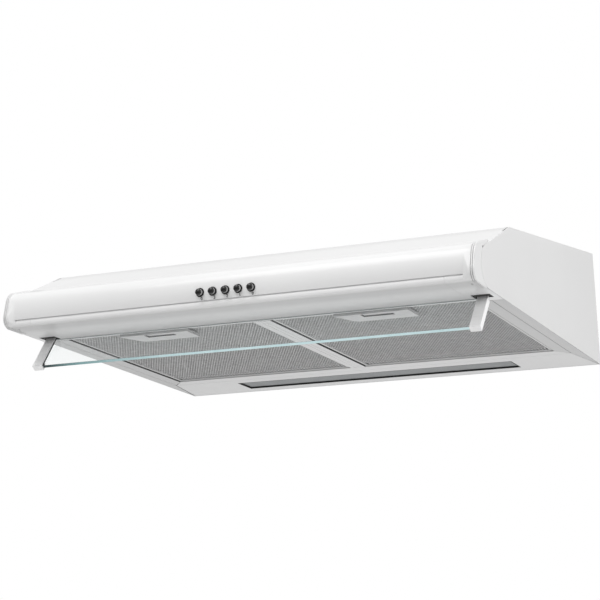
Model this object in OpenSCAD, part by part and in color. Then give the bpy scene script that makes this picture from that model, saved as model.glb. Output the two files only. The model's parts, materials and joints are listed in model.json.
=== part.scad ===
// Under-cupboard cooker hood with a fold-down glass visor, two lift-out grease filters and twin blowers.
// The wall is the plane y = 0, the front faces -Y, and z = 0 is the lowest edge, at the wall.

/* [Body] */
// Width across the side panels
body_w = 598; // [590:1:620]
// Height at the wall
body_h = 145; // [143:1:152]
// Depth of the flat top, from the wall
top_d = 346; // [344:1:352]
// Rise of the underside towards the front, in degrees
tilt = 9; // [8.5:0.25:9.5]
// Fall of the top in front of the flat part, in degrees
slope = 17.5; // [17:0.25:18]
// Radius of the side panels' nose
nose_r = 25; // [24:0.5:26]

/* [Visor] */
// Angle of the open visor forward of straight down, in degrees
visor_angle = 44; // [40:1:48]
// Length of a visor arm from its pivot
arm_len = 48; // [46:1:50]
// Thickness of the glass
glass_t = 4; // [3:0.5:4]

/* [Controls] */
// Distance between push buttons
button_pitch = 16.3; // [15:0.1:18]
// Height of the buttons above the lowest edge
button_z = 92.7; // [90:0.1:95]

/* [Outlet] */
// Outside radius of the duct collar
collar_r = 60; // [58:0.5:60]
// Height of the collar above the top
collar_h = 18; // [12:1:18]

/* [Hidden] */
$fn = 64;

half = body_w / 2;
sheet = 1;
fit = 0.3;            // gap between pieces that don't touch
seam = 0.8;           // gap between the panels of the underside

// Underside, measured as v, the distance forward from the wall edge, and n, the height above its face
flange_in = half - 14.5;      // inner edge of the side panels' bottom flange
lamp_v = 81;                  // front edge of the lamp panel
rail_in = half - 31;          // inner edge of the side rails
rear_v = 100;                 // front edge of the rear rail
bar_half = 10;                // half the width of the centre rail
lip_v = 387;                  // rear edge of the front lip
rail_h = 12;                  // height of the rails' upstands

// Nose of the side panels: the circle that touches the underside and the sloping top
nose_y = (nose_r * (1 + cos(slope) / cos(tilt)) - top_d * sin(slope) - body_h * cos(slope))
  / (sin(slope) + cos(slope) * tan(tilt));
nose_z = (nose_r - nose_y * sin(tilt)) / cos(tilt);
side_v = -nose_y * cos(tilt) + nose_z * sin(tilt);   // where the nose leaves the underside

// Fascia section: three arcs that run on from each other, by the angle of the outward normal above -Y,
// then a bead along the lip trim that tucks in behind the fascia's lower edge
fascia_t = 2;
fascia_front = -nose_y + nose_r + 21;   // how far the fascia stands from the wall
arc_top = [17, 80, 20];                 // radius, first and last angle
arc_face = [50, 20, -5];
arc_low = [12, -5, -90 + tilt];
crease = -9;                            // angle of the fascia's lower edge
bead = [9, 3.4];                        // radii of the bead's front and of its turn under the lip
bead_front = fascia_front - 0.5;
bead_z = (bead[1] + (bead_front - bead[1]) * sin(tilt)) / cos(tilt);
function out(a) = [-cos(a), sin(a)];
low_y = -fascia_front + arc_face[0] - (arc_face[0] - arc_low[0]) * cos(5);
low_c = [low_y, (arc_low[0] - low_y * sin(tilt)) / cos(tilt)];
face_c = low_c - (arc_face[0] - arc_low[0]) * out(-5);
top_c = face_c + (arc_face[0] - arc_top[0]) * out(20);
lip_end_y = -top_d - 78;                // rear end of the fascia's top lip
function arc(c, r, a, b, steps) = [for (i = [0:steps]) c + r * out(a + (b - a) * i / steps)];
function top_lip(r) = let (p = top_c + r * out(80)) [lip_end_y, p[1] + (lip_end_y - p[0]) * tan(10)];
// The fascia's upper skin, g inside its face, without and with its top lip
function shell_arcs(g) = concat(arc(top_c, arc_top[0] - g, arc_top[1], arc_top[2], 16),
  arc(face_c, arc_face[0] - g, arc_face[1], arc_face[2], 14));
function skin(g) = concat([top_lip(arc_top[0] - g)], shell_arcs(g));
// Ends of the front: the upper arc runs down straight into a round that bulges out in front of the fascia
end_r = 12;
end_a = arc_top[2];
end_y = (cos(end_a) * face_c[0] + sin(end_a) * (end_r / cos(tilt) - face_c[1]) - arc_face[0] + end_r)
  / (cos(end_a) + sin(end_a) * tan(tilt));
end_c = [end_y, (end_r - end_y * sin(tilt)) / cos(tilt)];
// The bead, g inside its face, from the angle a down to the underside
function bead_line(g, a) = concat(arc([bead[0] - bead_front, bead_z], bead[0] - g, a, 0, 8),
  arc([bead[1] - bead_front, bead_z], bead[1] - g, 0, arc_low[2], 8));
function around(c, r) = [c - r, c + r];
// Point v forward on the underside, n above its face
function on_face(v, n) = [n * sin(tilt) - v * cos(tilt), v * sin(tilt) + n * cos(tilt)];
function pleat(i) = let (v = filter_v[0] + rim + 12.5 * i) [v, v + 1.2];
function flip(p) = [for (i = [len(p) - 1:-1:0]) p[i]];

// Controls
button_a = asin((button_z - face_c[1]) / arc_face[0]);
button_p = face_c + arc_face[0] * out(button_a);
button_travel = 3;
cap_back = -3.4;      // back of a button's cap, from the fascia's face
ring_r = 5.3;         // outside radius of a button's ring
bore_r = 4.3;
BUTTONS = ["button_light", "button_speed_1", "button_speed_2", "button_speed_3", "button_off"];

// Visor
pivot_v = 412;
pivot_n = 6;
pivot = on_face(pivot_v, pivot_n);
arm_x = half - 18;
arm_w = 13;
arm_t = 1.6;
arm_side = 1;         // thickness of an arm's outer side
pad_t = 0.8;          // rubber between an arm and the glass
pad_over = 0.8;       // how far a pad stands out past its arm
pad_w = arm_w + pad_over - arm_side - 0.5;
slot_half = 11;       // half the width of the slots that the arms come out of
pin_r = 2;
crank = 8;            // from the pivot to the middle of the arm
arm_back = crank + arm_t / 2;
glass_y = arm_back + pad_t + 0.1;
hook_y = glass_y + glass_t + 0.2;     // lip that keeps the glass in its arm
hook_t = 0.9;
hook = hook_y + hook_t - arm_back + arm_t;
slot_v = [pivot_v - 11, pivot_v + 13];
block_in = half - 36; // inner edge of the end caps' foot

// Filters
filter_t = 9;
recess = 1.2;         // height of the filters above the rails' face
filter_gap = 2.2;
filter_x = [bar_half + filter_gap, rail_in - filter_gap];
filter_v = [102.5, 384];
filter_pivot = [108, recess + filter_t / 2];
stub_r = 1.5;         // pins a filter swings on
stub = 3;             // length of those pins outside the frame
rim = 1.5;
handle_x = 143;       // centre of a filter's handle
handle_v = [350, 369.5, 382.5, filter_v[1]];   // rear edge, finger recess, front edge
handle_n = -2.6;      // face of the handle plate
// Left edge of a handle plate, which flares out to the lip
HANDLE = [[-28, 350], [-33, 350.7], [-37, 353], [-40, 357], [-42.5, 363], [-45, 370], [-48, 377], [-52, 384]];
housing_v = [357, filter_v[1] - rim - 1 - fit];
pad_n = [-1.1, 0.6];
tongue_w = 30;
tongue_n = [3.2, 5.2];
latch_w = 38;
latch_back = lip_v - 0.5;   // front end of a latch when it is drawn back
latch_len = 16.3;

// Lamp
window = [[-198, 198], [21, 63]];
lens_n = 2.2;         // depth of the lens in its window
lamp_axis = [42, 19];

// Blowers and outlet
fan_x = 162;
fan_y = -205;
fan_z = 80;           // underside of the blower housing
wall = 2;
fan_r = 90;
inlet_r = 62;
wheel_r = 74;
shaft_r = 3;
roof = body_h - sheet;
outlet_y = -150;
plenum = [64, 62];    // half width and half depth
duct_y = [-185, -115];
flap_z = roof + 7;
flap_x = 3;

// Wiring
box_x = [-240, -170];
box_z = 86;
inlet_x = -205;
loom_r = 3;
loom_z = 95;
loom_x = -266;        // beside the left blower
loom_y = 330;         // in front of the left blower
loom_bend = 15;
loom_end = 431;       // the back of the switch bank

// 2D shapes in (y, z), run from x0 to x1
module across(x0, x1) translate([x0, 0, 0]) rotate([90, 0, 90]) linear_extrude(x1 - x0) children();
// The underside's own frame: y = -v and z = n
module underside() rotate([-tilt, 0, 0]) children();
module slab(x, v, n) translate([x[0], -v[1], n[0]]) cube([x[1] - x[0], v[1] - v[0], n[1] - n[0]]);
// Both hands of a piece drawn on the +X side
module hand(side) if (side > 0) children(); else mirror([1, 0, 0]) children();
module visor() translate([0, pivot[0], pivot[1]]) rotate([-visor_angle, 0, 0]) children();
module at_button(i) translate([(2 - i) * button_pitch, button_p[0], button_p[1]])
  rotate([90 - button_a, 0, 0]) children();

module side_outline() {
  t1 = [nose_y, nose_z] - nose_r * [sin(tilt), cos(tilt)];
  t2 = [nose_y, nose_z] + nose_r * [-sin(slope), cos(slope)];
  polygon([[0, 0], [0, body_h], [-top_d, body_h], t2, [nose_y, nose_z], t1]);
  translate([nose_y, nose_z]) circle(nose_r);
}

// Casing

module canopy_shell() color("white") difference() {
  down = [-cos(slope), -sin(slope)];
  end = [-top_d, body_h] + 98 * down;
  across(-half + sheet, half - sheet) polygon([[0, 0], [0, body_h], [-top_d, body_h], end,
    end + sheet * [sin(slope), -cos(slope)], [-top_d + sheet * tan(slope / 2), roof], [-sheet, roof], [-sheet, 0]]);
  translate([0, outlet_y, roof - 1]) cylinder(r = collar_r + 1, h = 3);
  for (x = [-260, 260], y = [-40, -300]) translate([x, y, roof - 1]) cylinder(r = 2.75, h = 3);
  for (x = [-240, 240]) translate([x, 1, 118]) rotate([90, 0, 0]) cylinder(r = 3, h = 3);
  translate([inlet_x, -45, roof - 1]) cylinder(r = 9, h = 3);
  // relief slots beside the bend
  for (s = [-1, 1]) translate([s * (half - sheet) - 2.5, -top_d - 20, body_h - 12]) cube([5, 20, 16]);
}

module side_panel(side) color("white") hand(side) {
  across(half - sheet, half) side_outline();
  underside() linear_extrude(sheet) polygon([[half - sheet / 2, -2], [half - sheet / 2, -lip_v + fit],
    [flange_in, -lip_v + seam], [flange_in, -lamp_v - fit]]);
  translate([half - 13, -2 * sheet, 6]) cube([12.5, sheet, body_h - 12]);
}

module lamp_panel() color("white") underside() {
  difference() {
    linear_extrude(sheet) polygon([[-half + 2, -2], [half - 2, -2], [flange_in - seam, -lamp_v],
      [seam - flange_in, -lamp_v]]);
    slab(window[0], window[1], [-1, 2]);
  }
}

module front_crossmember() color("white") difference() {
  across(-half + sheet + fit, half - sheet - fit) {
    translate([nose_y - 12, nose_z - 16]) square([sheet, 35]);
    translate([nose_y - 12, nose_z + 18]) square([11, sheet]);
  }
  translate([-47, nose_y - 13, nose_z - 14]) cube([94, 4, 26]);
  at_fascia_screws() translate([0, 0, -2]) cylinder(r = 1.9, h = 4);
}

module at_fascia_screws() for (s = [-1, 1], z = [-6, 8])
  translate([s * (half - 22), nose_y - 11, nose_z + z]) rotate([90, 0, 0]) children();

module side_rail(side) color("white") hand(side) underside() difference() {
  union() {
    linear_extrude(sheet) polygon([[rail_in, -rear_v - seam], [rail_in, -lip_v + seam],
      [flange_in - seam, -lip_v + seam], [flange_in - seam, -lamp_v - 2 * seam]]);
    slab([rail_in, rail_in + sheet], [rear_v + seam, lip_v - seam], [0, rail_h]);
  }
  filter_axis(rail_in - 1) cylinder(r = stub_r + 0.05, h = 3);
}

// The line a filter swings on, starting at x
module filter_axis(x) translate([x, -filter_pivot[0], filter_pivot[1]]) rotate([0, 90, 0]) children();

module rear_rail() color("white") underside() {
  linear_extrude(sheet) polygon([[-rail_in + fit, -rear_v], [rail_in - fit, -rear_v],
    [flange_in - 2 * seam, -lamp_v - seam], [2 * seam - flange_in, -lamp_v - seam]]);
  slab([-rail_in + fit, rail_in - fit], [rear_v - sheet, rear_v], [0, 4]);
}

module centre_rail() color("white") underside() difference() {
  union() {
    slab([-bar_half, bar_half], [rear_v + seam, lip_v - seam], [0, sheet]);
    for (x = [-bar_half, bar_half - sheet]) slab([x, x + sheet], [rear_v + seam, lip_v - seam], [0, rail_h]);
  }
  for (x = [-4, 2]) slab([x, x + 0.7], [rear_v - 1, lip_v], [-1, 0.5]);
  filter_axis(-bar_half - 1) cylinder(r = stub_r + 0.05, h = 2 * bar_half + 2);
}

// Front

module front_fascia() color("white") difference() {
  across(-half + 6, half - 6) polygon(concat(skin(0), arc(low_c, arc_low[0], arc_low[1], crease, 2),
    arc(low_c, arc_low[0] - fascia_t, crease, arc_low[1], 2), flip(skin(fascia_t))));
  for (i = [0:4]) at_button(i) translate([0, 0, -6]) cylinder(r = ring_r - 0.4, h = 12);
}

module lip_section() polygon(concat(bead_line(0, 48), [on_face(lip_v, 0), on_face(lip_v, fascia_t)],
  flip(bead_line(fascia_t, 48))));

// Tongue that laps behind the fascia's lower edge
module lap_section() translate([fascia_t + 0.7 - fascia_front, bead_z + 3]) square([1.6, 5.5]);

module lip_trim() color("white") across(-block_in + 0.2, block_in - 0.2) {
  lip_section();
  lap_section();
}

module fascia_end_cap(side) color("white") hand(side) difference() {
  union() {
    across(half - 6, half) end_section(0);
    for (i = [0:2]) across(half - 6 + 2.1 * i, half - 4.6 + 2.1 * i) end_section(0.9);
    // lap behind the fascia, foot on the underside, and cheeks for the visor's pin
    across(half - 16, half - 5.5)
      polygon(concat(shell_arcs(fascia_t + 0.3), flip(shell_arcs(fascia_t + 2.3))));
    across(block_in, half - sheet - fit) lip_section();
    translate([half - 34, nose_y - 26, nose_z - 11]) cube([29, 13.7, 24]);
    underside() for (x = [arm_x - slot_half - 2.2, arm_x + slot_half + 0.2])
      slab([x, x + 2], [pivot_v - 6, pivot_v + 31], [fascia_t - 0.2, pivot_n + 5]);
  }
  underside() slab([arm_x - slot_half, arm_x + slot_half], slot_v, [-1, fascia_t + 0.5]);
  underside() slab([half - 11, half - 9.4], [461, 467], [-1, 6]);
  translate([arm_x - 20, pivot[0], pivot[1]]) rotate([0, 90, 0]) cylinder(r = pin_r + 0.05, h = 34);
  translate([0, -0.1, 0]) at_fascia_screws() cylinder(r = 1.7, h = 10);
}

// Crescent in front of the side panel's nose, grown by g
module end_section(g) difference() {
  polygon(concat([top_lip(arc_top[0] + g)], arc(top_c, arc_top[0] + g, arc_top[1], end_a, 16),
    arc(end_c, end_r + g, end_a, arc_low[2], 16), [on_face(side_v + 7, -g), [nose_y, nose_z]]));
  translate([nose_y, nose_z]) circle(nose_r + fit);
  translate([-top_d, body_h + fit]) rotate(slope) translate([-104, -60]) square([60, 60]);
}

module switch_bank() color("dimgray") difference() {
  translate([0, button_p[0], button_p[1]]) rotate([90 - button_a, 0, 0]) translate([-44, -8, -38])
    cube([88, 16, 38 + cap_back - button_travel - fit]);
  for (i = [0:4]) at_button(i) translate([0, 0, -32]) cylinder(r = 2.8, h = 40);
}

module button_bezels() color("silver") for (i = [0:4]) at_button(i) difference() {
  union() {
    translate([0, 0, -3]) cylinder(r = ring_r - 0.5, h = 3.5);
    translate([0, 0, 0.1]) cylinder(r = ring_r, h = 0.8);
  }
  translate([0, 0, -4]) cylinder(r = bore_r, h = 8);
}

module button(i) color("black") at_button(i) {
  translate([0, 0, cap_back]) cylinder(r = 4, h = 5.5 - cap_back);
  translate([0, 0, 5.5]) cylinder(r1 = 4, r2 = 3, h = 1.2, $fn = 48);
  translate([0, 0, -26]) cylinder(r = 2.7, h = 24);
}

// Visor

module visor_glass() color("lightcyan", 0.4) visor()
  translate([-arm_x - 5.2, glass_y, -arm_len]) cube([2 * arm_x + 10.4, glass_t, arm_len - 1.5]);

module visor_arm(side) color("silver") hand(side) visor() translate([arm_x, 0, 0]) difference() {
  union() {
    rotate([0, 90, 0]) translate([0, 0, -10]) cylinder(r = 3.8, h = 20);
    translate([-10, 0, -2]) cube([20, crank, 4]);
    translate([-arm_w / 2, arm_back - arm_t, -arm_len - 3]) {
      cube([arm_w, arm_t, arm_len + 5]);
      cube([arm_w, hook, 2.8]);
      translate([arm_w - arm_side, 0, 0]) cube([arm_side, hook, arm_len]);
    }
    translate([-arm_w / 2, hook_y, -arm_len - 3]) cube([arm_w, hook_t, 9]);
  }
  rotate([0, 90, 0]) translate([0, 0, -12]) cylinder(r = pin_r, h = 24);
}

module visor_pins() color("gray") visor() for (s = [-1, 1])
  translate([s * arm_x - 14, 0, 0]) rotate([0, 90, 0]) cylinder(r = pin_r, h = 28);

module visor_pads() color("black") visor() for (s = [-1, 1]) hand(s)
  translate([arm_x - arm_w / 2 - pad_over, arm_back + 0.05, 1 - arm_len]) cube([pad_w, pad_t, arm_len - 3]);

// Filters

module filter_frame(side) color("silver") hand(side) underside() {
  difference() {
    slab(filter_x, filter_v, [recess, recess + filter_t]);
    slab([filter_x[0] + rim, filter_x[1] - rim], [filter_v[0] + rim, filter_v[1] - rim],
      [recess + 1, recess + filter_t - 1]);
    slab([filter_x[0] + rim + 1, filter_x[1] - rim - 1], [filter_v[0] + rim + 1, filter_v[1] - rim - 1], [-1, 20]);
    slab(around(handle_x, tongue_w / 2 + 1), [filter_v[1] - rim - 2, filter_v[1] + 1], tongue_n + [-0.5, 0.5]);
  }
  filter_axis(filter_x[0] - stub) cylinder(r = stub_r, h = stub + rim);
  filter_axis(filter_x[1] - rim) cylinder(r = stub_r, h = stub + rim);
}

// Expanded-metal sheet over pleats
module filter_mesh(side) color("gray") hand(side) underside() difference() {
  union() {
    slab([filter_x[0] + rim, filter_x[1] - rim], [filter_v[0] + rim, filter_v[1] - rim], [recess + 1, recess + 2.2]);
    for (i = [0:22]) slab([filter_x[0] + rim, filter_x[1] - rim], pleat(i), [recess + 2, recess + filter_t - 1]);
  }
  slab(around(handle_x, latch_w / 2 + 4), [housing_v[0] - 1, filter_v[1]], [-1, 20]);
}

// Both filters are the same moulding, so a handle is shifted to the other side, not mirrored
module at_handle(side) underside() translate([side * handle_x, 0, 0]) children();

module filter_handle(side) color("white") at_handle(side) difference() {
  union() {
    translate([0, 0, handle_n]) linear_extrude(recess - handle_n)
      polygon([for (p = concat(HANDLE, [[41, handle_v[3]], [41, handle_v[0]]])) [p[0], -p[1]]]);
    slab([-latch_w / 2 - 3, latch_w / 2 + 3], housing_v, [-0.5, 7.5]);
  }
  slab([-latch_w / 2 - fit, latch_w / 2 + fit], [handle_v[1], handle_v[2]], [handle_n - 1, pad_n[1] + fit]);
  slab([-8 - fit, 8 + fit], [handle_v[1], handle_v[2]], [0, tongue_n[0]]);
  slab([-tongue_w / 2 - fit, tongue_w / 2 + fit], [handle_v[1], filter_v[1] + 1], tongue_n + [-fit, 0.2]);
}

module filter_latch(side) color("white") at_handle(side) {
  slab([-latch_w / 2, latch_w / 2], [latch_back - latch_len, latch_back - 9], pad_n);
  slab([-8, 8], [latch_back - latch_len, latch_back - 10], [pad_n[1] - 0.2, tongue_n[0] + 0.2]);
  slab([-tongue_w / 2, tongue_w / 2], [latch_back - latch_len, latch_back], tongue_n);
}

// Lamp

module lamp_lens() color("darkgray") underside()
  slab(window[0] + [-5, 5], window[1] + [-5, 5], [lens_n, lens_n + 2]);

module lens_gasket() color("black") underside() difference() {
  slab(window[0] + [0.1, -0.1], window[1] + [0.1, -0.1], [0, lens_n]);
  slab(window[0] + [1.2, -1.2], window[1] + [1.2, -1.2], [-1, lens_n + 1]);
}

module lamp_reflector() color("silver") underside() difference() {
  slab(window[0] + [-9, 9], window[1] + [-9, 9], [sheet, 36]);
  slab(window[0] + [-8, 8], window[1] + [-8, 8], [0, 35]);
}

module lamp_holders() color("ivory") underside() for (s = [-1, 1])
  translate([s * 204.5, -lamp_axis[0], lamp_axis[1]]) rotate([0, -90 * s, 0]) difference() {
    cylinder(r = 12, h = 34);
    translate([0, 0, 8]) cylinder(r = 7, h = 30);
  }

module lamp_bulbs() color("lightyellow") underside() for (s = [-1, 1])
  translate([s * 204.5, -lamp_axis[0], lamp_axis[1]]) rotate([0, -90 * s, 0]) {
    translate([0, 0, 10]) cylinder(r = 6.7, h = 26);
    translate([0, 0, 35]) cylinder(r1 = 6.7, r2 = 11.5, h = 10);
    translate([0, 0, 45]) cylinder(r = 11.5, h = 40);
    translate([0, 0, 85]) intersection() {
      sphere(r = 11.5);
      translate([-12, -12, 0]) cube([24, 24, 12]);
    }
  }

// Blowers

module at_fan(side) translate([side * fan_x, fan_y, 0]) children();

// Plan of a blower housing grown or shrunk by g, with its outlet towards the middle
module scroll_plan(g) {
  circle(fan_r + g);
  translate([-fan_x + plenum[0] + 0.5, duct_y[0] - fan_y - g])
    square([fan_x - plenum[0] - 0.5, duct_y[1] - duct_y[0] + 2 * g]);
}

module blower_housing(side) color("whitesmoke") hand(side) at_fan(1) difference() {
  union() {
    translate([0, 0, fan_z]) linear_extrude(roof - fan_z) scroll_plan(0);
    for (a = [30, 180 + 80, 330]) rotate([0, 0, a]) translate([fan_r - 2, -7, roof - 4]) cube([14, 14, 4]);
  }
  translate([0, 0, fan_z + wall]) linear_extrude(roof - fan_z) scroll_plan(-wall);
  translate([-fan_x + plenum[0], duct_y[0] - fan_y + wall, fan_z + wall])
    cube([10, duct_y[1] - duct_y[0] - 2 * wall, 100]);
  translate([0, 0, fan_z - 1]) cylinder(r = inlet_r, h = 5);
  for (a = [30, 180 + 80, 330]) rotate([0, 0, a]) translate([fan_r + 6, 0, roof - 5]) cylinder(r = 2, h = 6);
}

module impeller(side) color("gray") at_fan(side) {
  difference() {
    union() {
      translate([0, 0, 128]) cylinder(r = wheel_r, h = 1.6);
      translate([0, 0, 100]) cylinder(r = 41, h = 29.6);
      translate([0, 0, 92]) cylinder(r = 8, h = 10);
    }
    translate([0, 0, 102]) cylinder(r = 39, h = 40);
    translate([0, 0, 90]) cylinder(r = shaft_r, h = 20);
  }
  translate([0, 0, 85]) difference() {
    cylinder(r = wheel_r, h = 1.6);
    translate([0, 0, -1]) cylinder(r = wheel_r - 16, h = 4);
  }
  for (i = [0:29]) rotate([0, 0, 12 * i]) translate([wheel_r - 8.4, 0, 86]) rotate([0, 0, 32 * side])
    translate([-7, -0.6, 0]) cube([14, 1.2, 42.5]);
}

module motor(side) color("dimgray") at_fan(side) difference() {
  union() {
    translate([0, 0, 108]) cylinder(r = 34, h = 32);
    translate([0, 0, 104]) cylinder(r = 9, h = 5);
  }
  translate([0, 0, 100]) cylinder(r = shaft_r + 0.05, h = 38);
}

module motor_shaft(side) color("silver") at_fan(side) {
  translate([0, 0, 89]) cylinder(r = shaft_r, h = 47);
  translate([0, 0, 87]) cylinder(r = 6, h = 4.8, $fn = 6);
}

module motor_bracket(side) color("silver") at_fan(side) difference() {
  union() {
    translate([0, 0, 140]) cylinder(r = 26, h = 2);
    for (a = [90, 210, 330]) rotate([0, 0, a]) {
      translate([0, -7, 140]) cube([78, 14, 2]);
      translate([64, -7, 140]) cube([14, 14, roof - 140]);
    }
  }
  for (a = [90, 210, 330]) rotate([0, 0, a]) translate([71, 0, 139]) cylinder(r = 2, h = 6);
}

// Outlet

module outlet_plenum() color("whitesmoke") difference() {
  translate([-plenum[0], outlet_y - plenum[1], fan_z]) cube([2 * plenum[0], 2 * plenum[1], roof - 3 - fan_z]);
  translate([-plenum[0] + wall, outlet_y - plenum[1] + wall, fan_z + wall])
    cube([2 * (plenum[0] - wall), 2 * (plenum[1] - wall), 100]);
  translate([-100, duct_y[0] + wall, fan_z + wall]) cube([200, duct_y[1] - duct_y[0] - 2 * wall, 100]);
}

module duct_collar() color("whitesmoke") translate([0, outlet_y, 0]) difference() {
  union() {
    translate([-plenum[0], -plenum[1], roof - 3]) cube([2 * plenum[0], 2 * plenum[1], 3]);
    translate([0, 0, roof - 3]) cylinder(r = collar_r, h = 3 + sheet + collar_h);
  }
  translate([0, 0, roof - 4]) cylinder(r = collar_r - 5, h = 60);
  translate([0, 0, flap_z - 1.1]) cylinder(r = collar_r - 1.8, h = 60);
  for (s = [-1, 1]) translate([s * flap_x, -70, flap_z]) rotate([-90, 0, 0]) cylinder(r = 1.55, h = 140);
}

// Half-disc that hangs on a rod across the collar
module damper_flap(side) color("gray") translate([0, outlet_y, flap_z]) {
  translate([side * flap_x, -collar_r + 0.6, 0]) rotate([-90, 0, 0]) cylinder(r = 1.5, h = 2 * collar_r - 1.2);
  intersection() {
    translate([0, 0, -0.8]) cylinder(r = collar_r - 2.4, h = 1.6);
    translate([side > 0 ? flap_x : -flap_x - 60, -60, -1]) cube([60, 120, 2]);
  }
}

// Wiring

module terminal_box() color("whitesmoke") difference() {
  translate([box_x[0], -75, box_z]) cube([70, 60, roof - box_z]);
  translate([box_x[0] + 2, -73, box_z - 2]) cube([66, 56, roof - box_z]);
  translate([inlet_x, -45, roof - 4]) cylinder(r = 6.3, h = 6);
  translate([box_x[0] - 1, -45, loom_z]) rotate([0, 90, 0]) cylinder(r = loom_r + fit, h = 4);
}

module terminal_box_lid() color("white") {
  translate([box_x[0] - 1, -76, box_z - 2]) cube([72, 62, 1.9]);
  translate([box_x[0] + 2.4, -72.6, box_z - 1]) cube([65.2, 55.2, 3]);
}

module cable_grommet() color("black") translate([inlet_x, -45, 0]) difference() {
  union() {
    translate([0, 0, roof]) cylinder(r = 9, h = sheet);
    translate([0, 0, roof - 2]) cylinder(r = 6.2, h = 2.5);
    translate([0, 0, body_h - 0.2]) cylinder(r = 8.6, h = 1.7);
  }
  translate([0, 0, roof - 3]) cylinder(r = 4.5, h = 8);
}

// A lead from the terminal box, round the left blower, to the back of the switch bank
module wiring_loom() color("dimgray") translate([0, 0, loom_z]) {
  loom_run(box_x[0] - 4, -45, 180, loom_x + loom_bend);
  loom_turn(loom_x + loom_bend, -45 - loom_bend, 90);
  translate([loom_x, -45 - loom_bend, 0]) rotate([90, 0, 0]) cylinder(r = loom_r, h = loom_y - 45 - 2 * loom_bend);
  loom_turn(loom_x + loom_bend, loom_bend - loom_y, 180);
  translate([loom_x + loom_bend, -loom_y, 0]) rotate([0, 90, 0])
    cylinder(r = loom_r, h = -loom_x - 2 * loom_bend - 30);
  loom_turn(-30 - loom_bend, -loom_y - loom_bend, 0);
  translate([-30, -loom_y - loom_bend, 0]) rotate([90, 0, 0]) cylinder(r = loom_r, h = loom_end - loom_y - loom_bend);
}
module loom_run(x, y, a, x2) translate([x2, y, 0]) rotate([0, 90, 0]) cylinder(r = loom_r, h = x - x2);
// A quarter turn about (x, y), starting at angle a
module loom_turn(x, y, a) translate([x, y, 0]) rotate([0, 0, a]) rotate_extrude(angle = 90)
  translate([loom_bend, 0]) circle(loom_r);

// Fasteners

module screw(r, length) {
  cylinder(r = r, h = length);
  translate([0, 0, -1.8]) cylinder(r = 1.9 * r, h = 1.8);
}

module blower_screws() color("silver") for (s = [-1, 1]) hand(s) at_fan(1)
  for (a = [30, 180 + 80, 330]) rotate([0, 0, a]) translate([fan_r + 6, 0, roof - 4]) screw(1.8, 4);

module bracket_screws() color("silver") for (s = [-1, 1]) at_fan(s)
  for (a = [90, 210, 330]) rotate([0, 0, a]) translate([71, 0, 140]) screw(1.8, roof - 140);

module fascia_screws() color("silver") at_fascia_screws() screw(1.7, 9);

canopy_shell();
side_panel(-1);  // side_panel_left
side_panel(1);  // side_panel_right
lamp_panel();
front_crossmember();
side_rail(-1);  // side_rail_left
side_rail(1);  // side_rail_right
rear_rail();
centre_rail();
front_fascia();
lip_trim();
fascia_end_cap(-1);  // fascia_end_cap_left
fascia_end_cap(1);  // fascia_end_cap_right
switch_bank();
button_bezels();
for (i = [0:4]) button(i);
visor_glass();
visor_arm(-1);  // visor_arm_left
visor_arm(1);  // visor_arm_right
visor_pins();
visor_pads();
filter_frame(-1);  // filter_frame_left
filter_mesh(-1);  // filter_mesh_left
filter_handle(-1);  // filter_handle_left
filter_latch(-1);  // filter_latch_left
filter_frame(1);  // filter_frame_right
filter_mesh(1);  // filter_mesh_right
filter_handle(1);  // filter_handle_right
filter_latch(1);  // filter_latch_right
lamp_lens();
lens_gasket();
lamp_reflector();
lamp_holders();
lamp_bulbs();
blower_housing(-1);  // blower_housing_left
blower_housing(1);  // blower_housing_right
motor(-1);  // motor_left
motor(1);  // motor_right
motor_bracket(-1);  // motor_bracket_left
motor_bracket(1);  // motor_bracket_right
impeller(-1);  // impeller_left
impeller(1);  // impeller_right
motor_shaft(-1);  // motor_shaft_left
motor_shaft(1);  // motor_shaft_right
outlet_plenum();
duct_collar();
damper_flap(-1);  // damper_flap_left
damper_flap(1);  // damper_flap_right
terminal_box();
terminal_box_lid();
cable_grommet();
wiring_loom();
blower_screws();
bracket_screws();
fascia_screws();
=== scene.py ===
import json
import math
import bmesh
import bpy
from mathutils import Matrix, Vector

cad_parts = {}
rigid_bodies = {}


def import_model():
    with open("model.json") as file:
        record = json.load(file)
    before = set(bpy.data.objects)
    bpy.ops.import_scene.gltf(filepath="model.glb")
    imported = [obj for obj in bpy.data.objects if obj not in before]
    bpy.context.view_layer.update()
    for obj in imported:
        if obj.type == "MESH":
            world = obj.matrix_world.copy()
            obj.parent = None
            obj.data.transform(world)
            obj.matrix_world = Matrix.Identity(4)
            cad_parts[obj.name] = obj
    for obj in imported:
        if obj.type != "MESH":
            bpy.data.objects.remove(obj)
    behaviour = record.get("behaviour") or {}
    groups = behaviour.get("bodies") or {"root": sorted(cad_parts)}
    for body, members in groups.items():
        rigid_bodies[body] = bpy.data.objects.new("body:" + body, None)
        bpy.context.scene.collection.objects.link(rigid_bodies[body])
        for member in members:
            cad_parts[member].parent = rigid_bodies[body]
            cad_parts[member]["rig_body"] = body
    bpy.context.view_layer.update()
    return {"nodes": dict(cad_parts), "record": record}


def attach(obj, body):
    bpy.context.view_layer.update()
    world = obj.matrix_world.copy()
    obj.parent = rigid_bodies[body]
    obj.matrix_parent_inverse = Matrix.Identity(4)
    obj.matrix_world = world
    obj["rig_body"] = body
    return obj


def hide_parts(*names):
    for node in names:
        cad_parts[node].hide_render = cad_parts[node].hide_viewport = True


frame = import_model()
N = frame["nodes"]
SLOT = {s["node"]: s["material_slot"] for s in frame["record"]["subparts"]}
scene = bpy.context.scene

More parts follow.
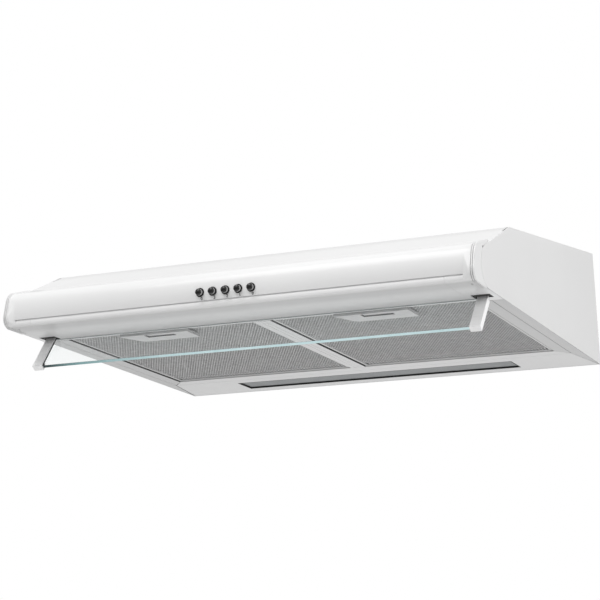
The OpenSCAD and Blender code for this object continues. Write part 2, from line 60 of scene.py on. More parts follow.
# ---------------------------------------------------------------- camera, lights, stage
cam = bpy.data.objects.new("camera", bpy.data.cameras.new("camera"))
cam.data.sensor_width, cam.data.lens = 36.0, 107.35
right = Vector((0.9056127, 0.4203220, -0.0565238))
down = Vector((-0.0917657, 0.0640830, -0.9937165))
ahead = Vector((-0.4140586, 0.9051093, 0.0966055))
cam.matrix_world = Matrix.Translation((0.91531, -2.27290, -0.11942)) @ Matrix(
    (right, -down, -ahead)).transposed().to_4x4()
scene.collection.objects.link(cam)
scene.camera = cam
scene.view_settings.view_transform = "Standard"


def area(name, at, aim, size, power):
    """A square soft light that faces a point."""
    lamp = bpy.data.lights.new(name, "AREA")
    lamp.energy, lamp.size = power, size
    lamp.shape, lamp.size_y = "RECTANGLE", size
    o = bpy.data.objects.new(name, lamp)
    o.location = at
    o.rotation_mode = "QUATERNION"
    o.rotation_quaternion = (Vector(aim) - Vector(at)).to_track_quat("-Z", "Y")
    scene.collection.objects.link(o)


area("key", (-0.5, -1.75, 2.3), (0, -0.35, 0.1), 1.7, 34)
area("side", (2.6, -0.5, 0.7), (0.3, -0.25, 0.08), 1.4, 32)
area("below", (0.1, -0.5, -1.9), (0, -0.3, 0.05), 2.4, 9.2)

world = bpy.data.worlds.new("studio")
scene.world = world
world.use_nodes = True
wn, wl = world.node_tree.nodes, world.node_tree.links
wn.clear()
shown = wn.new("ShaderNodeOutputWorld")
seen, fill = wn.new("ShaderNodeBackground"), wn.new("ShaderNodeBackground")
seen.inputs["Color"].default_value = (1, 1, 1, 1)
seen.inputs["Strength"].default_value = 1.0
direction, split = wn.new("ShaderNodeTexCoord"), wn.new("ShaderNodeSeparateXYZ")
height, sky = wn.new("ShaderNodeMapRange"), wn.new("ShaderNodeValToRGB")
height.inputs["From Min"].default_value = -1.0
# Brightness of the surroundings from straight down (0) to straight up (1), darkest near the horizon
HORIZON = [(0.0, 0.86), (0.36, 0.62), (0.47, 0.12), (0.56, 0.20), (0.66, 0.66), (1.0, 0.8)]
sky.color_ramp.elements[0].position, sky.color_ramp.elements[1].position = 0.0, 1.0
for at, _ in HORIZON[1:-1]:
    sky.color_ramp.elements.new(at)
for e, (_, level) in zip(sky.color_ramp.elements, HORIZON):
    e.color = (level, level, level, 1)
wl.new(direction.outputs["Generated"], split.inputs[0])
wl.new(split.outputs["Z"], height.inputs["Value"])
wl.new(height.outputs[0], sky.inputs[0])
wl.new(sky.outputs[0], fill.inputs["Color"])
path, either, mix = wn.new("ShaderNodeLightPath"), wn.new("ShaderNodeMath"), wn.new("ShaderNodeMixShader")
either.operation = "MAXIMUM"
wl.new(path.outputs["Is Camera Ray"], either.inputs[0])
wl.new(path.outputs["Is Transmission Ray"], either.inputs[1])
wl.new(either.outputs[0], mix.inputs[0])
wl.new(fill.outputs[0], mix.inputs[1])
wl.new(seen.outputs[0], mix.inputs[2])
wl.new(mix.outputs[0], shown.inputs[0])


# ---------------------------------------------------------------- materials
def material(name, dark, light, scale=8.0, rough=(0.35, 0.45), metallic=0.0, bump=None, stretch=(1, 1, 1), **sockets):
    """A principled material whose colour and roughness drift with noise, with an optional bump (scale, depth)."""
    m = bpy.data.materials.new(name)
    m.use_nodes = True
    t = m.node_tree
    p = t.nodes["Principled BSDF"]
    p.inputs["Metallic"].default_value = metallic
    for k, v in sockets.items():
        p.inputs[k.replace("_", " ")].default_value = v
    coord, place = t.nodes.new("ShaderNodeTexCoord"), t.nodes.new("ShaderNodeMapping")
    place.inputs["Scale"].default_value = stretch
    t.links.new(coord.outputs["Object"], place.inputs["Vector"])

    def noise(s, detail):
        n = t.nodes.new("ShaderNodeTexNoise")
        n.inputs["Scale"].default_value = s
        n.inputs["Detail"].default_value = detail
        t.links.new(place.outputs[0], n.inputs["Vector"])
        return n.outputs["Fac"]

    wide = noise(scale, 4)
    ramp = t.nodes.new("ShaderNodeValToRGB")
    ramp.color_ramp.elements[0].position, ramp.color_ramp.elements[1].position = 0.3, 0.7
    ramp.color_ramp.elements[0].color = (*dark, 1)
    ramp.color_ramp.elements[1].color = (*light, 1)
    t.links.new(wide, ramp.inputs[0])
    t.links.new(ramp.outputs[0], p.inputs["Base Color"])
    spread = t.nodes.new("ShaderNodeMapRange")
    spread.inputs["To Min"].default_value, spread.inputs["To Max"].default_value = rough
    t.links.new(noise(scale * 3.7, 3), spread.inputs["Value"])
    t.links.new(spread.outputs[0], p.inputs["Roughness"])
    if bump:
        b = t.nodes.new("ShaderNodeBump")
        b.inputs["Distance"].default_value = bump[1]
        b.inputs["Strength"].default_value = 1.0
        t.links.new(noise(bump[0], 2), b.inputs["Height"])
        t.links.new(b.outputs[0], p.inputs["Normal"])
    return m


def grey(v):
    return (v, v, v)


PANEL = material("underside_enamel", grey(0.71), grey(0.75), 5, (0.32, 0.40), bump=(900, 0.00002), Coat_Weight=0.1)
PAINT = material("enamel_paint", grey(0.80), grey(0.83), 5, (0.30, 0.38), bump=(900, 0.00002), Coat_Weight=0.15)
FRONT = material("fascia_enamel", grey(0.83), grey(0.86), 4, (0.33, 0.41), bump=(500, 0.00001), Coat_Weight=0.3)
# the fascia's enamel again, with painted shade in the crease under the bead
SHADED_LIP = material("lip_enamel_painted_shade", grey(0.83), grey(0.86), 4, (0.33, 0.41), bump=(500, 0.00001), Coat_Weight=0.2)
# the white enamel darkened as painted shade, for the side rails and the side panels' downward faces
SHADED_RAIL = material("rail_painted_shade", grey(0.55), grey(0.60), 5, (0.34, 0.42), bump=(900, 0.00002), Coat_Weight=0.1)
# grey painted shade in the grooves between the end caps' ribs
GROOVE_SHADE = material("cap_groove_painted_shade", grey(0.22), grey(0.30), 60, (0.5, 0.6), bump=(900, 0.00002))
CAP = material("moulded_white", grey(0.80), grey(0.84), 14, (0.28, 0.36), bump=(1500, 0.00001))
STEEL = material("brushed_steel", grey(0.90), grey(0.99), 900, (0.46, 0.56), 0.0, (1400, 0.00001), (0.03, 1, 1))
CHROME = material("bright_chrome", grey(0.42), grey(0.52), 60, (0.12, 0.18), 1.0)
BLACK = material("button_plastic", grey(0.006), grey(0.012), 400, (0.10, 0.16), bump=(2500, 0.00001))
# black rubber, also the dark strip of painted shade behind the filters' rear slots
RUBBER_AND_SHADE = material("black_rubber_and_strip_shade", grey(0.010), grey(0.018), 300, (0.6, 0.75), bump=(1800, 0.00003))
ALU = material("rolled_aluminium", grey(0.70), grey(0.80), 700, (0.36, 0.46), 0.55, (900, 0.00001), (0.06, 1, 1))
MESH = material("expanded_aluminium", grey(0.56), grey(0.76), 160, (0.34, 0.48), 0.55, (1600, 0.00002))
MEDIA = material("filter_depth", grey(0.16), grey(0.26), 300, (0.5, 0.7), 0.3, (700, 0.0002))
# dark grey plastic for the switch bank, also the painted shade inside the handles' finger recesses
GREY_PLASTIC_AND_SHADE = material("grey_plastic_and_recess_shade", grey(0.16), grey(0.20), 200, (0.4, 0.5), bump=(1500, 0.00002))
LENS = material("smoked_lens", (0.27, 0.28, 0.285), (0.31, 0.32, 0.325), 60, (0.30, 0.4), bump=(800, 0.00002))
SHINE = material("anodised_reflector", grey(0.7), grey(0.8), 60, (0.2, 0.3), 1.0)
IVORY = material("ivory_ceramic", (0.70, 0.66, 0.55), (0.76, 0.72, 0.62), 200, (0.4, 0.5), bump=(900, 0.00002))
OPAL = material("opal_bulb", (0.86, 0.84, 0.78), (0.90, 0.88, 0.83), 90, (0.15, 0.22), Transmission_Weight=0.25)
SHELL = material("grey_housing", grey(0.50), grey(0.56), 40, (0.42, 0.52), bump=(1200, 0.00003))
MOTOR = material("motor_can", (0.035, 0.037, 0.04), (0.06, 0.062, 0.065), 120, (0.35, 0.5), 0.6, (700, 0.00003))
ZINC = material("zinc_plate", (0.52, 0.52, 0.50), (0.66, 0.66, 0.62), 150, (0.28, 0.42), 1.0, (800, 0.00002))
WHEEL = material("impeller_plastic", grey(0.035), grey(0.06), 90, (0.4, 0.5), bump=(900, 0.00003))
PRINT = material("legend_print", grey(0.05), grey(0.08), 500, (0.5, 0.6))
GLASS = material("visor_glass", (0.975, 0.995, 0.995), (0.985, 1.0, 1.0), 30, (0.0, 0.01),
                 Transmission_Weight=1.0, IOR=1.45)
HANDLE = material("handle_plastic", grey(0.56), grey(0.61), 60, (0.34, 0.44), bump=(1200, 0.00002))
# near-black painted shade for the rails' upper walls, the arms' hubs and the arms' slots
PAINTED_SHADE = material("dark_painted_shade", grey(0.055), grey(0.09), 200, (0.5, 0.65), bump=(900, 0.00003))
# glass edge: its own teal tint, with a painted reflection added by shade_along below
EDGE = material("glass_edge_tint_and_painted_reflection", (0.50, 0.68, 0.70), (0.62, 0.78, 0.80), 60, (0.18, 0.3), bump=(900, 0.00004), IOR=1.45)
GROUND = material("ground_glass", (0.40, 0.43, 0.43), (0.46, 0.49, 0.49), 90, (0.5, 0.6), bump=(900, 0.00004))
FLOOR = material("studio_floor", grey(0.78), grey(0.81), 2, (0.6, 0.7))


def shade_along(mat, axis, low, high, stops):
    """Multiplies a material's colour by one that changes between two places on an axis."""
    t = mat.node_tree
    p = t.nodes["Principled BSDF"]
    base = p.inputs["Base Color"].links[0].from_socket
    coord, split = t.nodes.new("ShaderNodeTexCoord"), t.nodes.new("ShaderNodeSeparateXYZ")
    t.links.new(coord.outputs["Object"], split.inputs[0])
    span = t.nodes.new("ShaderNodeMapRange")
    span.inputs["From Min"].default_value, span.inputs["From Max"].default_value = low, high
    t.links.new(split.outputs[axis], span.inputs["Value"])
    ramp = t.nodes.new("ShaderNodeValToRGB")
    ramp.color_ramp.elements[0].position, ramp.color_ramp.elements[1].position = stops[0][0], stops[-1][0]
    for at, _ in stops[1:-1]:
        ramp.color_ramp.elements.new(at)
    for e, (_, c) in zip(ramp.color_ramp.elements, stops):
        e.color = (*c, 1)
    t.links.new(span.outputs[0], ramp.inputs[0])
    times = t.nodes.new("ShaderNodeMix")
    times.data_type, times.blend_type = "RGBA", "MULTIPLY"
    times.inputs["Factor"].default_value = 1.0
    t.links.new(base, times.inputs["A"])
    t.links.new(ramp.outputs[0], times.inputs["B"])
    t.links.new(times.outputs["Result"], p.inputs["Base Color"])


# painted reflection on the glass's lower edge: near black at the left arm, teal further on, then brighter than the
# tint towards the middle
shade_along(EDGE, "X", -0.29, -0.10, [(0.0, (0.02, 0.03, 0.03)), (0.12, (0.05, 0.08, 0.08)),
                                      (0.35, (0.45, 0.62, 0.62)), (1.0, (1.25, 1.25, 1.25))])
# painted shade: the crease under the bead is darkened in the lip's colour
shade_along(SHADED_LIP, "Z", 0.060, 0.076, [(0.0, grey(1.0)), (0.42, grey(1.0)), (0.58, grey(0.90)), (0.72, grey(0.70)),
                                     (0.88, grey(0.64)), (1.0, grey(1.0))])

BY_SLOT = {"body_white": PAINT, "fascia_white": FRONT, "cap_white": CAP, "switch_grey": GREY_PLASTIC_AND_SHADE, "bezel_chrome": CHROME,
           "button_black": BLACK, "visor_glass": GLASS, "arm_steel": STEEL, "rubber_black": RUBBER_AND_SHADE,
           "filter_aluminium": ALU, "mesh_aluminium": MESH, "latch_grey": GREY_PLASTIC_AND_SHADE, "latch_white": CAP,
           "lens_grey": LENS, "lamp_ivory": IVORY, "bulb_glass": OPAL, "housing_plastic": SHELL,
           "motor_steel": MOTOR, "zinc_steel": ZINC, "impeller_plastic": WHEEL}


for name, node in N.items():
    node.data.materials.clear()
    node.data.materials.append(SHINE if name == "lamp_reflector" else BY_SLOT[SLOT[name]])

floor = bpy.data.meshes.new("floor")
FLOOR_Z, FLOOR_HALF = -2.2, 6.0
floor.from_pydata([(x * FLOOR_HALF, y * FLOOR_HALF, FLOOR_Z) for x, y in ((-1, -1), (1, -1), (1, 1), (-1, 1))], [],
                  [(0, 1, 2, 3)])
floor.materials.append(FLOOR)
floor_obj = bpy.data.objects.new("floor", floor)
scene.collection.objects.link(floor_obj)


# ---------------------------------------------------------------- helpers
def link(name, me, body, mats, replaces=(), angle=30):
    """Links a mesh as a piece that rides on a body."""
    me.shade_smooth()
    me.set_sharp_from_angle(angle=math.radians(angle))
    o = bpy.data.objects.new(name, me)
    scene.collection.objects.link(o)
    for m in mats if isinstance(mats, (list, tuple)) else [mats]:
        me.materials.append(m)
    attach(o, body)
    if replaces:
        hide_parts(*replaces)
    return o


def add(name, bm, body, mats, replaces=(), angle=30):
    """Links a bmesh as a piece and frees it."""
    me = bpy.data.meshes.new(name)
    bmesh.ops.recalc_face_normals(bm, faces=bm.faces)
    bm.to_mesh(me)
    bm.free()
    return link(name, me, body, mats, replaces, angle)


def welded(node):
    """A copy of a CAD node's mesh with its split points and flat faces joined."""
    bm = bmesh.new()
    bm.from_mesh(N[node].data)
    bmesh.ops.remove_doubles(bm, verts=bm.verts, dist=2e-6)
    bmesh.ops.dissolve_limit(bm, angle_limit=math.radians(0.4), verts=bm.verts, edges=bm.edges)
    return bm


def refine(node, mat, bevel=0.0004, segments=2, angle=28):
    """The CAD solid with its edges broken and its curves shaded smooth."""
    o = add(node + "_finished", welded(node), N[node]["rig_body"], mat, (node,), angle)
    b = o.modifiers.new("edges", "BEVEL")
    b.width, b.segments, b.limit_method, b.angle_limit = bevel, segments, "ANGLE", math.radians(angle)
    b.harden_normals = True
    return o


class Solids:
    """Closed solids gathered into one mesh, in millimetres."""

    def __init__(self):
        self.verts, self.faces = [], []

    def prism(self, low, high, capped=True):
        """Joins two matching loops of points with walls and ends."""
        n, k = len(low), len(self.verts)
        self.verts += [tuple(c * MM for c in p) for p in (*low, *high)]
        self.faces += [(k + i, k + (i + 1) % n, k + n + (i + 1) % n, k + n + i) for i in range(n)]
        if capped:
            self.faces += [tuple(range(k + n - 1, k - 1, -1)), tuple(range(k + n, k + 2 * n))]

    def lathe(self, profile, at, out, side, steps=48):
        """Turns a closed (radius, height) profile about the axis out."""
        up = out.cross(side)
        k, n = len(self.verts), len(profile)
        for s in range(steps):
            a = math.tau * s / steps
            ray = side * math.cos(a) + up * math.sin(a)
            self.verts += [tuple((at + out * h + ray * r) * MM) for r, h in profile]
        for s in range(steps):
            a, b = k + s * n, k + (s + 1) % steps * n
            self.faces += [(a + i, a + (i + 1) % n, b + (i + 1) % n, b + i) for i in range(n)]

    def piece(self, name, body, mats, replaces=(), angle=30):
        bm = bmesh.new()
        me = bpy.data.meshes.new(name)
        me.from_pydata(self.verts, [], self.faces)
        bm.from_mesh(me)
        bmesh.ops.remove_doubles(bm, verts=[v for v in bm.verts if len(v.link_edges) != 3], dist=1e-7)
        bpy.data.meshes.remove(me)
        return add(name, bm, body, mats, replaces, angle)


MM = 0.001
TILT = math.radians(9)


def under(x, v, n):
    """A point on the sloping underside: v forward from the wall edge, n above its face."""
    return Vector((x, -v * math.cos(TILT) + n * math.sin(TILT), v * math.sin(TILT) + n * math.cos(TILT)))


def block(solids, x, v, n, mirror=1):
    """A box on the underside, from x[0] to x[1] and so on, mirrored in x when asked."""
    ring = [(x[0], v[0]), (x[1], v[0]), (x[1], v[1]), (x[0], v[1])]
    solids.prism(*[[under(mirror * px, pv, h) for px, pv in ring] for h in n])


# ---------------------------------------------------------------- casing
refine("canopy_shell", PAINT, 0.0003)
refine("lamp_panel", PANEL, 0.0003)


HANDLE_X, RECESS_V, RECESS_HALF = 143.0, (369.5, 382.5), 20.0    # finger recess of a filter's handle
ARM_X, PIVOT, HUB_R = 281.0, under(0, 412, 6), 8.5
ARM_SLOT_HALF, ARM_SLOT_V = 11.5, (400.0, 426.0)                # round the slot that an arm comes out of
# RAIL_SHADE_N: height above the underside where the rails' walls get the painted shade
RAIL_SHADE_N, LONG_EDGE = 1.5, 0.04
GROOVE_X, GROOVE_W = (294.35, 296.45), 0.8                      # grooves round the end caps
LIP_TOP, HEM_BAND, HEM_DROP = 0.0765, 0.0004, 0.00027


def face_v(f):
    """Distance of a face's centre along the underside from the wall edge."""
    return (-f.center.y * math.cos(TILT) + f.center.z * math.sin(TILT)) / MM


def face_n(f):
    """Height of a face's centre above the underside."""
    return (f.center.y * math.sin(TILT) + f.center.z * math.cos(TILT)) / MM


def choose(o, rule):
    """Gives each face the material slot that rule(face) says."""
    for f in o.data.polygons:
        f.material_index = int(rule(f))


def underneath(o):
    """Gives the faces that look down, below the lip's top, the lip's paint with its painted shade in the crease."""
    choose(o, lambda f: 2 if f.material_index == 0 and f.normal.z < -0.4 and f.center.z < LIP_TOP
           else f.material_index)


def cap_face(f):
    """Painted shade: dark in the arm's slot, grey in the grooves; white elsewhere."""
    x = abs(f.center.x) / MM
    if abs(x - ARM_X) < ARM_SLOT_HALF and ARM_SLOT_V[0] < face_v(f) < ARM_SLOT_V[1] and face_n(f) > 0.3:
        return 1
    # grey painted shade on the floors of the grooves between the ribs
    return 3 if any(g < x < g + GROOVE_W for g in GROOVE_X) and abs(f.normal.x) < 0.5 else 0


def recess_shade_face(f):
    """Painted shade: dark inside the finger recess."""
    flat = abs(f.normal.y * math.sin(TILT) + f.normal.z * math.cos(TILT)) > 0.5
    across = abs(abs(f.center.x) / MM - HANDLE_X) < RECESS_HALF
    return across and RECESS_V[0] - 0.1 < face_v(f) < RECESS_V[1] + 0.1 and (not flat or face_n(f) > -2)


for node in ("side_rail_left", "side_rail_right", "rear_rail", "centre_rail"):
    rail = refine(node, [SHADED_RAIL if "side" in node else PANEL, PAINTED_SHADE], 0.0003)
    if node != "rear_rail":
        # walls above RAIL_SHADE_N get the painted shade
        choose(rail, lambda f: face_n(f) > RAIL_SHADE_N)
for side in ("left", "right"):
    panel = refine("side_panel_" + side, [PAINT, SHADED_RAIL], 0.0009, 3)
    # the side panel's downward faces get the rails' painted shade
    choose(panel, lambda f: f.normal.z < -0.7)
    panel.modifiers["edges"].limit_method = "WEIGHT"
    weight = panel.data.attributes.new("bevel_weight_edge", "FLOAT", "EDGE")
    outer = max(abs(v.co.x) for v in panel.data.vertices)
    for e in panel.data.edges:
        a, b = (panel.data.vertices[i].co for i in e.vertices)
        if abs(abs(a.x) - outer) < 1e-5 and abs(abs(b.x) - outer) < 1e-5 and (a - b).length > LONG_EDGE:
            weight.data[e.index].value = 1.0
fascia = refine("front_fascia", FRONT, 0.0001)
hem = min(v.co.z for v in fascia.data.vertices)
for v in fascia.data.vertices:
    if v.co.z < hem + HEM_BAND:
        v.co.z -= HEM_DROP
underneath(refine("lip_trim", [FRONT, PAINTED_SHADE, SHADED_LIP], 0.0001))
for side in ("left", "right"):
    end_cap = refine("fascia_end_cap_" + side, [CAP, PAINTED_SHADE, SHADED_LIP, GROOVE_SHADE], 0.0003)
    choose(end_cap, cap_face)
    underneath(end_cap)
    arm = refine("visor_arm_" + side, [STEEL, PAINTED_SHADE], 0.0003)
    # painted shade on the arm round its pivot, where it sits inside the slot
    choose(arm, lambda f: (f.center / MM - PIVOT).yz.length < HUB_R)
    refine("filter_frame_" + side, ALU, 0.0003)
    choose(refine("filter_handle_" + side, [HANDLE, GREY_PLASTIC_AND_SHADE], 0.0005), recess_shade_face)
    refine("filter_latch_" + side, HANDLE, 0.0004)
refine("duct_collar", SHELL, 0.0004)
refine("cable_grommet", RUBBER_AND_SHADE, 0.0006)


# ---------------------------------------------------------------- ends of the fascia
def out(a):
    """A direction in the side view, a degrees up from straight out to the front."""
    return Vector((-math.cos(math.radians(a)), math.sin(math.radians(a))))


FACE_C, FACE_R, TOP_R, END_R, TURN_R = Vector((-423.65, 88.55)), 50.0, 17.0, 12.0, 3.4
TOP_C = FACE_C + (FACE_R - TOP_R) * out(20)
END_C, TURN_C = Vector((-465.08, 85.81)), Vector((-469.746, 77.842))
FLARE_X, FLARE_STEPS, FLARE_PROUD, FLARE_DEEP = (293.0, 284.5), 12, 0.08, 1.0
SLOT_LIP_HALF, SLOT_LIP_V, SLOT_LIP_N = 10.97, (416.5, 424.97), (0.0, 2.0)


def front_section(k, inset):
    """The fascia's outline at k = 0, and the rounder outline of its end at k = 1, a little inside the face."""
    line = [TOP_C + (TOP_R - inset) * out(80 - 7.5 * i) for i in range(9)]
    for i in range(21):
        a = 20 - 101 * i / 20
        face = FACE_C + (FACE_R - inset) * out(a) if a > -5 else TURN_C + (TURN_R - inset) * out(a)
        line.append(face.lerp(END_C + (END_R - inset) * out(a), k))
    return line


def end_flare(side, hand):
    """The moulding that carries the fascia's outline out to its rounder end."""
    s = Solids()
    for step in range(FLARE_STEPS + 1):
        t = step / FLARE_STEPS
        k = 1 - t * t * (3 - 2 * t)
        x = hand * (FLARE_X[0] + t * (FLARE_X[1] - FLARE_X[0]))
        rows = front_section(k, -FLARE_PROUD) + front_section(k, FLARE_DEEP)
        s.verts += [(x * MM, p.x * MM, p.y * MM) for p in rows]
    n = len(rows) // 2
    for a in range(0, FLARE_STEPS * 2 * n, 2 * n):
        b = a + 2 * n
        for i in range(n - 1):
            s.faces += [(a + i, a + i + 1, b + i + 1, b + i), (a + n + i, b + n + i, b + n + i + 1, a + n + i + 1)]
        s.faces += [(a, b, b + n, a + n), (a + n - 1, a + 2 * n - 1, b + 2 * n - 1, b + n - 1)]
    for a in (0, FLARE_STEPS * 2 * n):
        s.faces += [(a + i, a + n + i, a + n + i + 1, a + i + 1) for i in range(n - 1)]
    underneath(s.piece("fascia_flare_" + side, "canopy", [FRONT, PAINTED_SHADE, SHADED_LIP]))


for side, hand in (("left", -1), ("right", 1)):
    end_flare(side, hand)

# the plates that close the front of each arm's slot
for side, hand in (("left", -1), ("right", 1)):
    lips = Solids()
    block(lips, (ARM_X - SLOT_LIP_HALF, ARM_X + SLOT_LIP_HALF), SLOT_LIP_V, SLOT_LIP_N, hand)
    lips.piece("arm_slot_lip_" + side, "canopy", CAP)

# ---------------------------------------------------------------- filters
RIM_X, RIM_V = (13.7, 264.5), (104.0, 382.5)      # inside of a filter's frame
SHEET_N, DEPTH_N = (2.25, 2.85), (3.3, 9.0)       # expanded sheet and the layers behind it
LATTICE_V = (114.6, 375.4)
SLOT_V, SLOT_N = ((104.8, 113.8), (376.4, 381.6)), (2.25, 2.35)   # rows of short slots in the sheet's thin margin
COLUMNS, ROWS, STRAND, SLOT_PITCH, SLOT_BAR = 66, 40, 0.8, 4.2, 1.05
LATCH_X, LATCH_V = (119.0, 167.0), 355.0          # room for the latch housing


def blocked(x, v):
    """Whether a point of the sheet lies where the latch's housing is."""
    return LATCH_X[0] < x < LATCH_X[1] and v > LATCH_V


def filter_sheet(side, hand):
    """Expanded aluminium: zigzag strands, a solid margin and a row of short slots at the front and rear."""
    s = Solids()
    for x in ((RIM_X[0], RIM_X[0] + 1.6), (RIM_X[1] - 1.6, RIM_X[1])):
        block(s, x, RIM_V, SHEET_N, hand)
    inner = (RIM_X[0] + 1.6, RIM_X[1] - 1.6)
    for v in ((RIM_V[0], SLOT_V[0][0]), (SLOT_V[0][1], LATTICE_V[0])):
        block(s, inner, v, SLOT_N, hand)
    for x in ((inner[0], LATCH_X[0]), (LATCH_X[1], inner[1])):
        for v in ((LATTICE_V[1], SLOT_V[1][0]), (SLOT_V[1][1], RIM_V[1])):
            block(s, x, v, SHEET_N, hand)
    count = round((inner[1] - inner[0]) / SLOT_PITCH)
    pitch = (inner[1] - inner[0]) / count
    for i in range(1, count):
        x = inner[0] + i * pitch
        block(s, (x - SLOT_BAR, x + SLOT_BAR), SLOT_V[0], SLOT_N, hand)
        if not blocked(x, 380):
            block(s, (x - SLOT_BAR, x + SLOT_BAR), SLOT_V[1], SHEET_N, hand)
    step_x, step_v = (inner[1] - inner[0]) / COLUMNS, (LATTICE_V[1] - LATTICE_V[0]) / (2 * ROWS)
    slant = STRAND / 2 * math.hypot(step_x / 2, step_v) / step_v
    for row in range(2 * ROWS):
        v0, v1 = LATTICE_V[0] + row * step_v, LATTICE_V[0] + (row + 1) * step_v
        for col in range(2 * COLUMNS):
            x0 = inner[0] + (col + row % 2) // 2 * step_x
            even = (col + row) % 2 == 0
            a = inner[0] + (col + (0 if even else 1)) * step_x / 2
            b = inner[0] + (col + (1 if even else 0)) * step_x / 2
            if blocked((a + b) / 2, (v0 + v1) / 2):
                continue
            ring = [(a - slant, v0), (a + slant, v0), (b + slant, v1), (b - slant, v1)]
            s.prism(*[[under(hand * x, v, n) for x, v in ring] for n in SHEET_N])
    s.piece("filter_sheet_" + side, "filter_" + side, MESH, ("filter_mesh_" + side,))


def filter_shade_strip(side, hand):
    """A dark strip behind the rear row of slots, painted shade where the frame shades the openings."""
    s = Solids()
    block(s, (RIM_X[0] + 1.0, RIM_X[1] - 1.0), (RIM_V[0] + 0.2, SLOT_V[0][1] + 0.4), (2.4, 2.8), hand)
    s.piece("filter_painted_shade_" + side, "filter_" + side, RUBBER_AND_SHADE)


def filter_pleats(side, hand):
    """The folded layers behind the sheet, as one zigzag pad."""
    s = Solids()
    count = 46
    for x in ((RIM_X[0] + 0.1, LATCH_X[0]), (LATCH_X[0], LATCH_X[1]), (LATCH_X[1], RIM_X[1] - 0.1)):
        folds = []
        for i in range(count + 1):
            v = RIM_V[0] + 0.2 + (RIM_V[1] - RIM_V[0] - 0.4) * i / count
            if x[0] == LATCH_X[0] and v > LATCH_V:
                break
            folds.append((v, DEPTH_N[0] if i % 2 else DEPTH_N[1] - 0.9))
        loop = folds + [(v, n + 0.8) for v, n in reversed(folds)]
        s.prism(*[[under(hand * px, v, n) for v, n in loop] for px in x])
    s.piece("filter_pleats_" + side, "filter_" + side, MEDIA)


for side, hand in (("left", -1), ("right", 1)):
    filter_sheet(side, hand)
    filter_shade_strip(side, hand)
    filter_pleats(side, hand)

# ---------------------------------------------------------------- controls
BUTTON_AT, BUTTON_ANGLE, BUTTON_PITCH = Vector((0, -473.4735, 92.7)), math.radians(4.754), 16.3
BUTTON_OUT = Vector((0, -math.cos(BUTTON_ANGLE), math.sin(BUTTON_ANGLE)))
ACROSS, SKIRT_TOP = Vector((1, 0, 0)), 4.45
CAP_PROFILE = [(0.001, 6.65), (1.0, 6.6), (2.0, 6.4), (2.9, 6.0), (3.5, 5.5), (3.85, 4.9), (3.9, 4.6), (4.0, 4.4),
               (4.0, -3.4), (2.7, -3.4), (2.7, -26.0), (0.001, -26.0)]
RING_PROFILE = [(4.3, -3.0), (4.8, -3.0), (4.8, 0.1), (5.2, 0.1), (5.3, 0.4), (5.2, 0.7), (4.9, 0.9), (4.5, 0.8),
                (4.3, 0.5)]
rings = Solids()
for i, name in enumerate(("light", "speed_1", "speed_2", "speed_3", "off")):
    at = BUTTON_AT + ACROSS * (2 - i) * BUTTON_PITCH
    cap = Solids()
    cap.lathe(CAP_PROFILE, at, BUTTON_OUT, ACROSS)
    o = cap.piece("button_cap_" + name, "button_" + name, [BLACK, CHROME], ("button_" + name,))
    choose(o, lambda f: 0 < (f.center / MM - at).dot(BUTTON_OUT) < SKIRT_TOP and abs(f.normal.dot(BUTTON_OUT)) < 0.8)
    rings.lathe(RING_PROFILE, at, BUTTON_OUT, ACROSS)
rings.piece("button_rings", "canopy", RUBBER_AND_SHADE, ("button_bezels",))

LEGEND_X, LEGEND_Z, LEGEND_W, LEGEND_SIZE = 1.7, 85.7, 0.8, 1.02


def on_fascia(x, z, lift):
    """A point on the fascia's curve at height z, lifted off it."""
    r = FACE_R + lift
    return Vector((x, FACE_C[0] - math.sqrt(r * r - (z - FACE_C[1]) ** 2), z))


def stroke(solids, points, x0, closed=False):
    """A ribbon along points (x, z), printed proud of the fascia."""
    pts = [Vector(p) * LEGEND_SIZE for p in points]
    n = len(pts)
    left, right = [], []
    for i, p in enumerate(pts):
        a = pts[(i - 1) % n] if closed or i else p
        b = pts[(i + 1) % n] if closed or i < n - 1 else p
        d = (b - a).normalized()
        side = Vector((-d.y, d.x)) * LEGEND_W / 2
        left.append(p + side)
        right.append(p - side)
    for i in range(n if closed else n - 1):
        j = (i + 1) % n
        ring = [left[i], left[j], right[j], right[i]]
        solids.prism(*[[on_fascia(x0 + q.x, LEGEND_Z + q.y, lift) for q in ring] for lift in (-0.1, 0.07)])


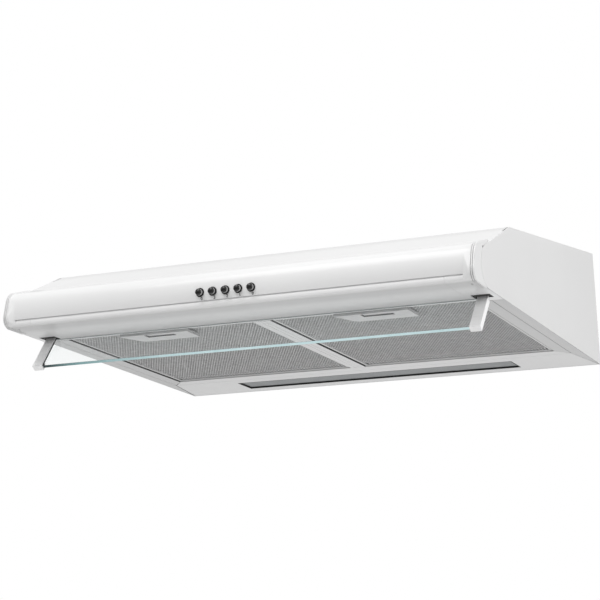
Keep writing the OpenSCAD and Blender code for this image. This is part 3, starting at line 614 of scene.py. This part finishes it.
def arc2(cx, cy, rx, ry, a, b, steps=10):
    """Points along an ellipse from angle a to angle b."""
    return [(cx + rx * math.cos(math.radians(a + (b - a) * i / steps)),
             cy + ry * math.sin(math.radians(a + (b - a) * i / steps))) for i in range(steps + 1)]


LEGENDS = {
    0: [arc2(0, 0.3, 0.95, 0.95, -60, 240), [(-0.45, -0.6), (-0.45, -1.2), (0.45, -1.2), (0.45, -0.6)]],
    1: [[(-0.6, 0.8), (0.1, 1.45), (0.1, -1.5)]],
    2: [arc2(0, 0.6, 0.85, 0.9, 170, -30, 8) + [(-0.85, -1.35), (0.95, -1.35)]],
    3: [arc2(0, 0.7, 0.8, 0.75, 150, -90, 8), arc2(0, -0.7, 0.9, 0.8, 90, -150, 8)],
    4: [arc2(0, 0, 0.85, 1.45, 0, 360, 16)],
}
legends = Solids()
for i, strokes in LEGENDS.items():
    for points in strokes:
        stroke(legends, points, (2 - i) * BUTTON_PITCH + LEGEND_X)
legends.piece("button_legends", "canopy", PRINT)

# ---------------------------------------------------------------- visor glass and lamp lens
glass = refine("visor_glass", [GLASS, EDGE, GROUND], 0.0003)
glass_z = [pick(f.center.z for f in glass.data.polygons) for pick in (min, max)]
# the lowest faces get the edge tint with its painted reflection, the topmost ones ground glass
choose(glass, lambda f: 1 if f.center.z < glass_z[0] + 0.0005 else 2 if f.center.z > glass_z[1] - 0.0005 else 0)

lens = Solids()
RIBS, LENS_X, LENS_V, LENS_N = 26, (-202.9, 202.9), (16.1, 67.9), (2.2, 4.15)
pitch = (LENS_V[1] - LENS_V[0]) / RIBS
ribbed = []
for i in range(RIBS):
    v = LENS_V[0] + i * pitch
    ribbed += [(v, LENS_N[0] + 0.45), (v + pitch * 0.25, LENS_N[0] + 0.1), (v + pitch * 0.5, LENS_N[0]),
            (v + pitch * 0.75, LENS_N[0] + 0.1)]
loop = ribbed + [(LENS_V[1], LENS_N[0] + 0.45), (LENS_V[1], LENS_N[1]), (LENS_V[0], LENS_N[1])]
lens.prism(*[[under(x, v, n) for v, n in loop] for x in LENS_X])
lens.piece("lamp_lens_ribbed", "canopy", LENS, ("lamp_lens",), angle=40)
